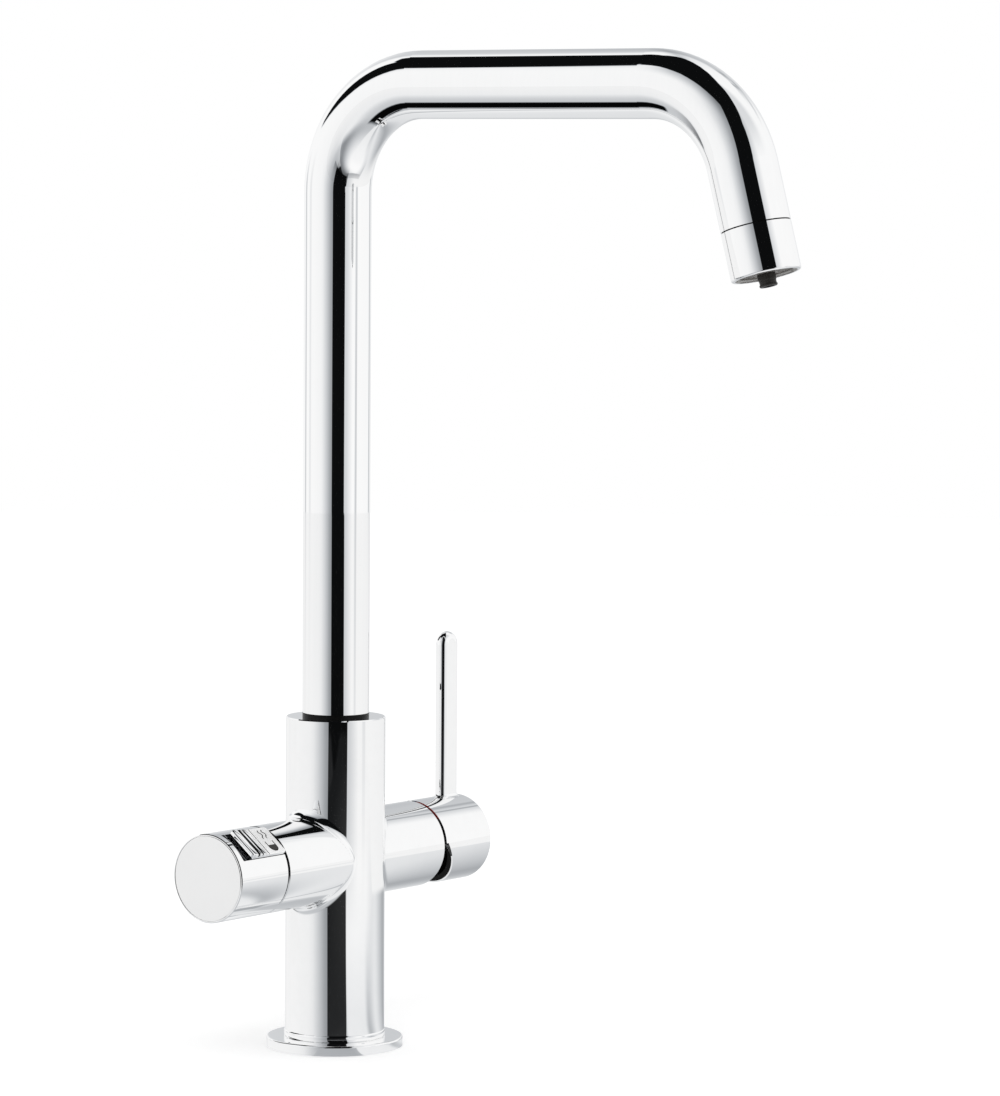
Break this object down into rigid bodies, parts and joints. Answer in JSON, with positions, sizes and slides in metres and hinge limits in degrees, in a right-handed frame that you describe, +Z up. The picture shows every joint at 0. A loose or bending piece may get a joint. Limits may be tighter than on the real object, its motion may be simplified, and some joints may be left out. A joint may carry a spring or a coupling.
{
  "type": "boiling water tap",
  "caption": "Deck-mounted kitchen tap with a square-bent swivel spout, a side handle with a sliding safety button for boiling water, and a single-lever mixer.",
  "frame": {"origin": "on the column's axis at the worktop's surface, where the mounting shank passes through it", "axes": "+Z up along the column; the spout reaches towards -Y, the user's side; the boiling-water handle is towards -X and the mixer lever towards +X"},
  "size_m": [0.1604, 0.2461, 0.4614],
  "materials": {
    "chrome": "polished",
    "satin_metal": "satin",
    "brass": "turned",
    "steel": "turned",
    "rubber": "matt",
    "black_plastic": "matt",
    "grey_plastic": "matt",
    "ceramic": "lapped",
    "marker": "gloss"
  },
  "bodies": {
    "tap": {"tap_body": "chrome", "base_flange": "chrome", "base_gasket": "rubber", "mounting_shank": "brass", "rubber_washer": "rubber", "steel_washer": "steel", "fixing_nut": "brass", "spout_bush": "black_plastic", "spout_stop_screw": "steel", "boiling_cartridge": "brass", "boiling_fixed_disc": "ceramic", "boiling_ring_nut": "brass", "mixer_cartridge": "grey_plastic", "mixer_cartridge_base": "grey_plastic", "mixer_fixed_disc": "ceramic", "mixer_ring_nut": "brass", "temperature_ring": "marker"},
    "spout": {"spout_tube": "chrome", "spout_foot": "brass", "spout_seals": "rubber", "boiling_water_pipe": "steel", "outlet_collar": "chrome", "outlet_insert": "grey_plastic", "boiling_nozzle": "grey_plastic"},
    "boiling_handle": {"boiling_handle": "chrome", "handle_end_cap": "satin_metal", "handle_screw": "steel", "boiling_spindle": "steel", "boiling_turning_disc": "ceramic"},
    "safety_button": {"safety_button": "satin_metal"},
    "mixer_carrier": {"mixer_carrier": "black_plastic", "mixer_pivot_pin": "steel"},
    "mixer_lever": {"mixer_lever": "chrome", "mixer_stem": "steel", "mixer_grub_screw": "steel"},
    "mixer_sliding_disc": {"mixer_sliding_disc": "ceramic"}
  },
  "joints": [
    {"name": "spout_swing", "type": "hinge", "parent": "tap", "child": "spout", "pos_m": [0, 0, 0.1335], "axis": [0, 0, 1], "range_deg": [-60, 60]},
    {"name": "boiling_turn", "type": "hinge", "parent": "tap", "child": "boiling_handle", "pos_m": [-0.05, 0, 0.0764], "axis": [1, 0, 0], "range_deg": [0, 90]},
    {"name": "button_slide", "type": "slide", "parent": "boiling_handle", "child": "safety_button", "axis": [-1, 0, 0], "range_m": [0, 0.004], "stiffness_N_per_m": 500, "springref_m": -0.004},
    {"name": "mixer_turn", "type": "hinge", "parent": "tap", "child": "mixer_carrier", "pos_m": [0.05, 0, 0.0764], "axis": [1, 0, 0], "range_deg": [-45, 45]},
    {"name": "lever_tilt", "type": "hinge", "parent": "mixer_carrier", "child": "mixer_lever", "pos_m": [0.044, 0, 0.0764], "axis": [0, 1, 0], "range_deg": [0, 25]},
    {"name": "disc_slide", "type": "slide", "parent": "mixer_carrier", "child": "mixer_sliding_disc", "axis": [0, 0, 1], "range_m": [0, 0.0032]}
  ],
  "couplings": [
    {"joint": "disc_slide", "follows": "lever_tilt", "m_per_rad": 0.0072}
  ]
}
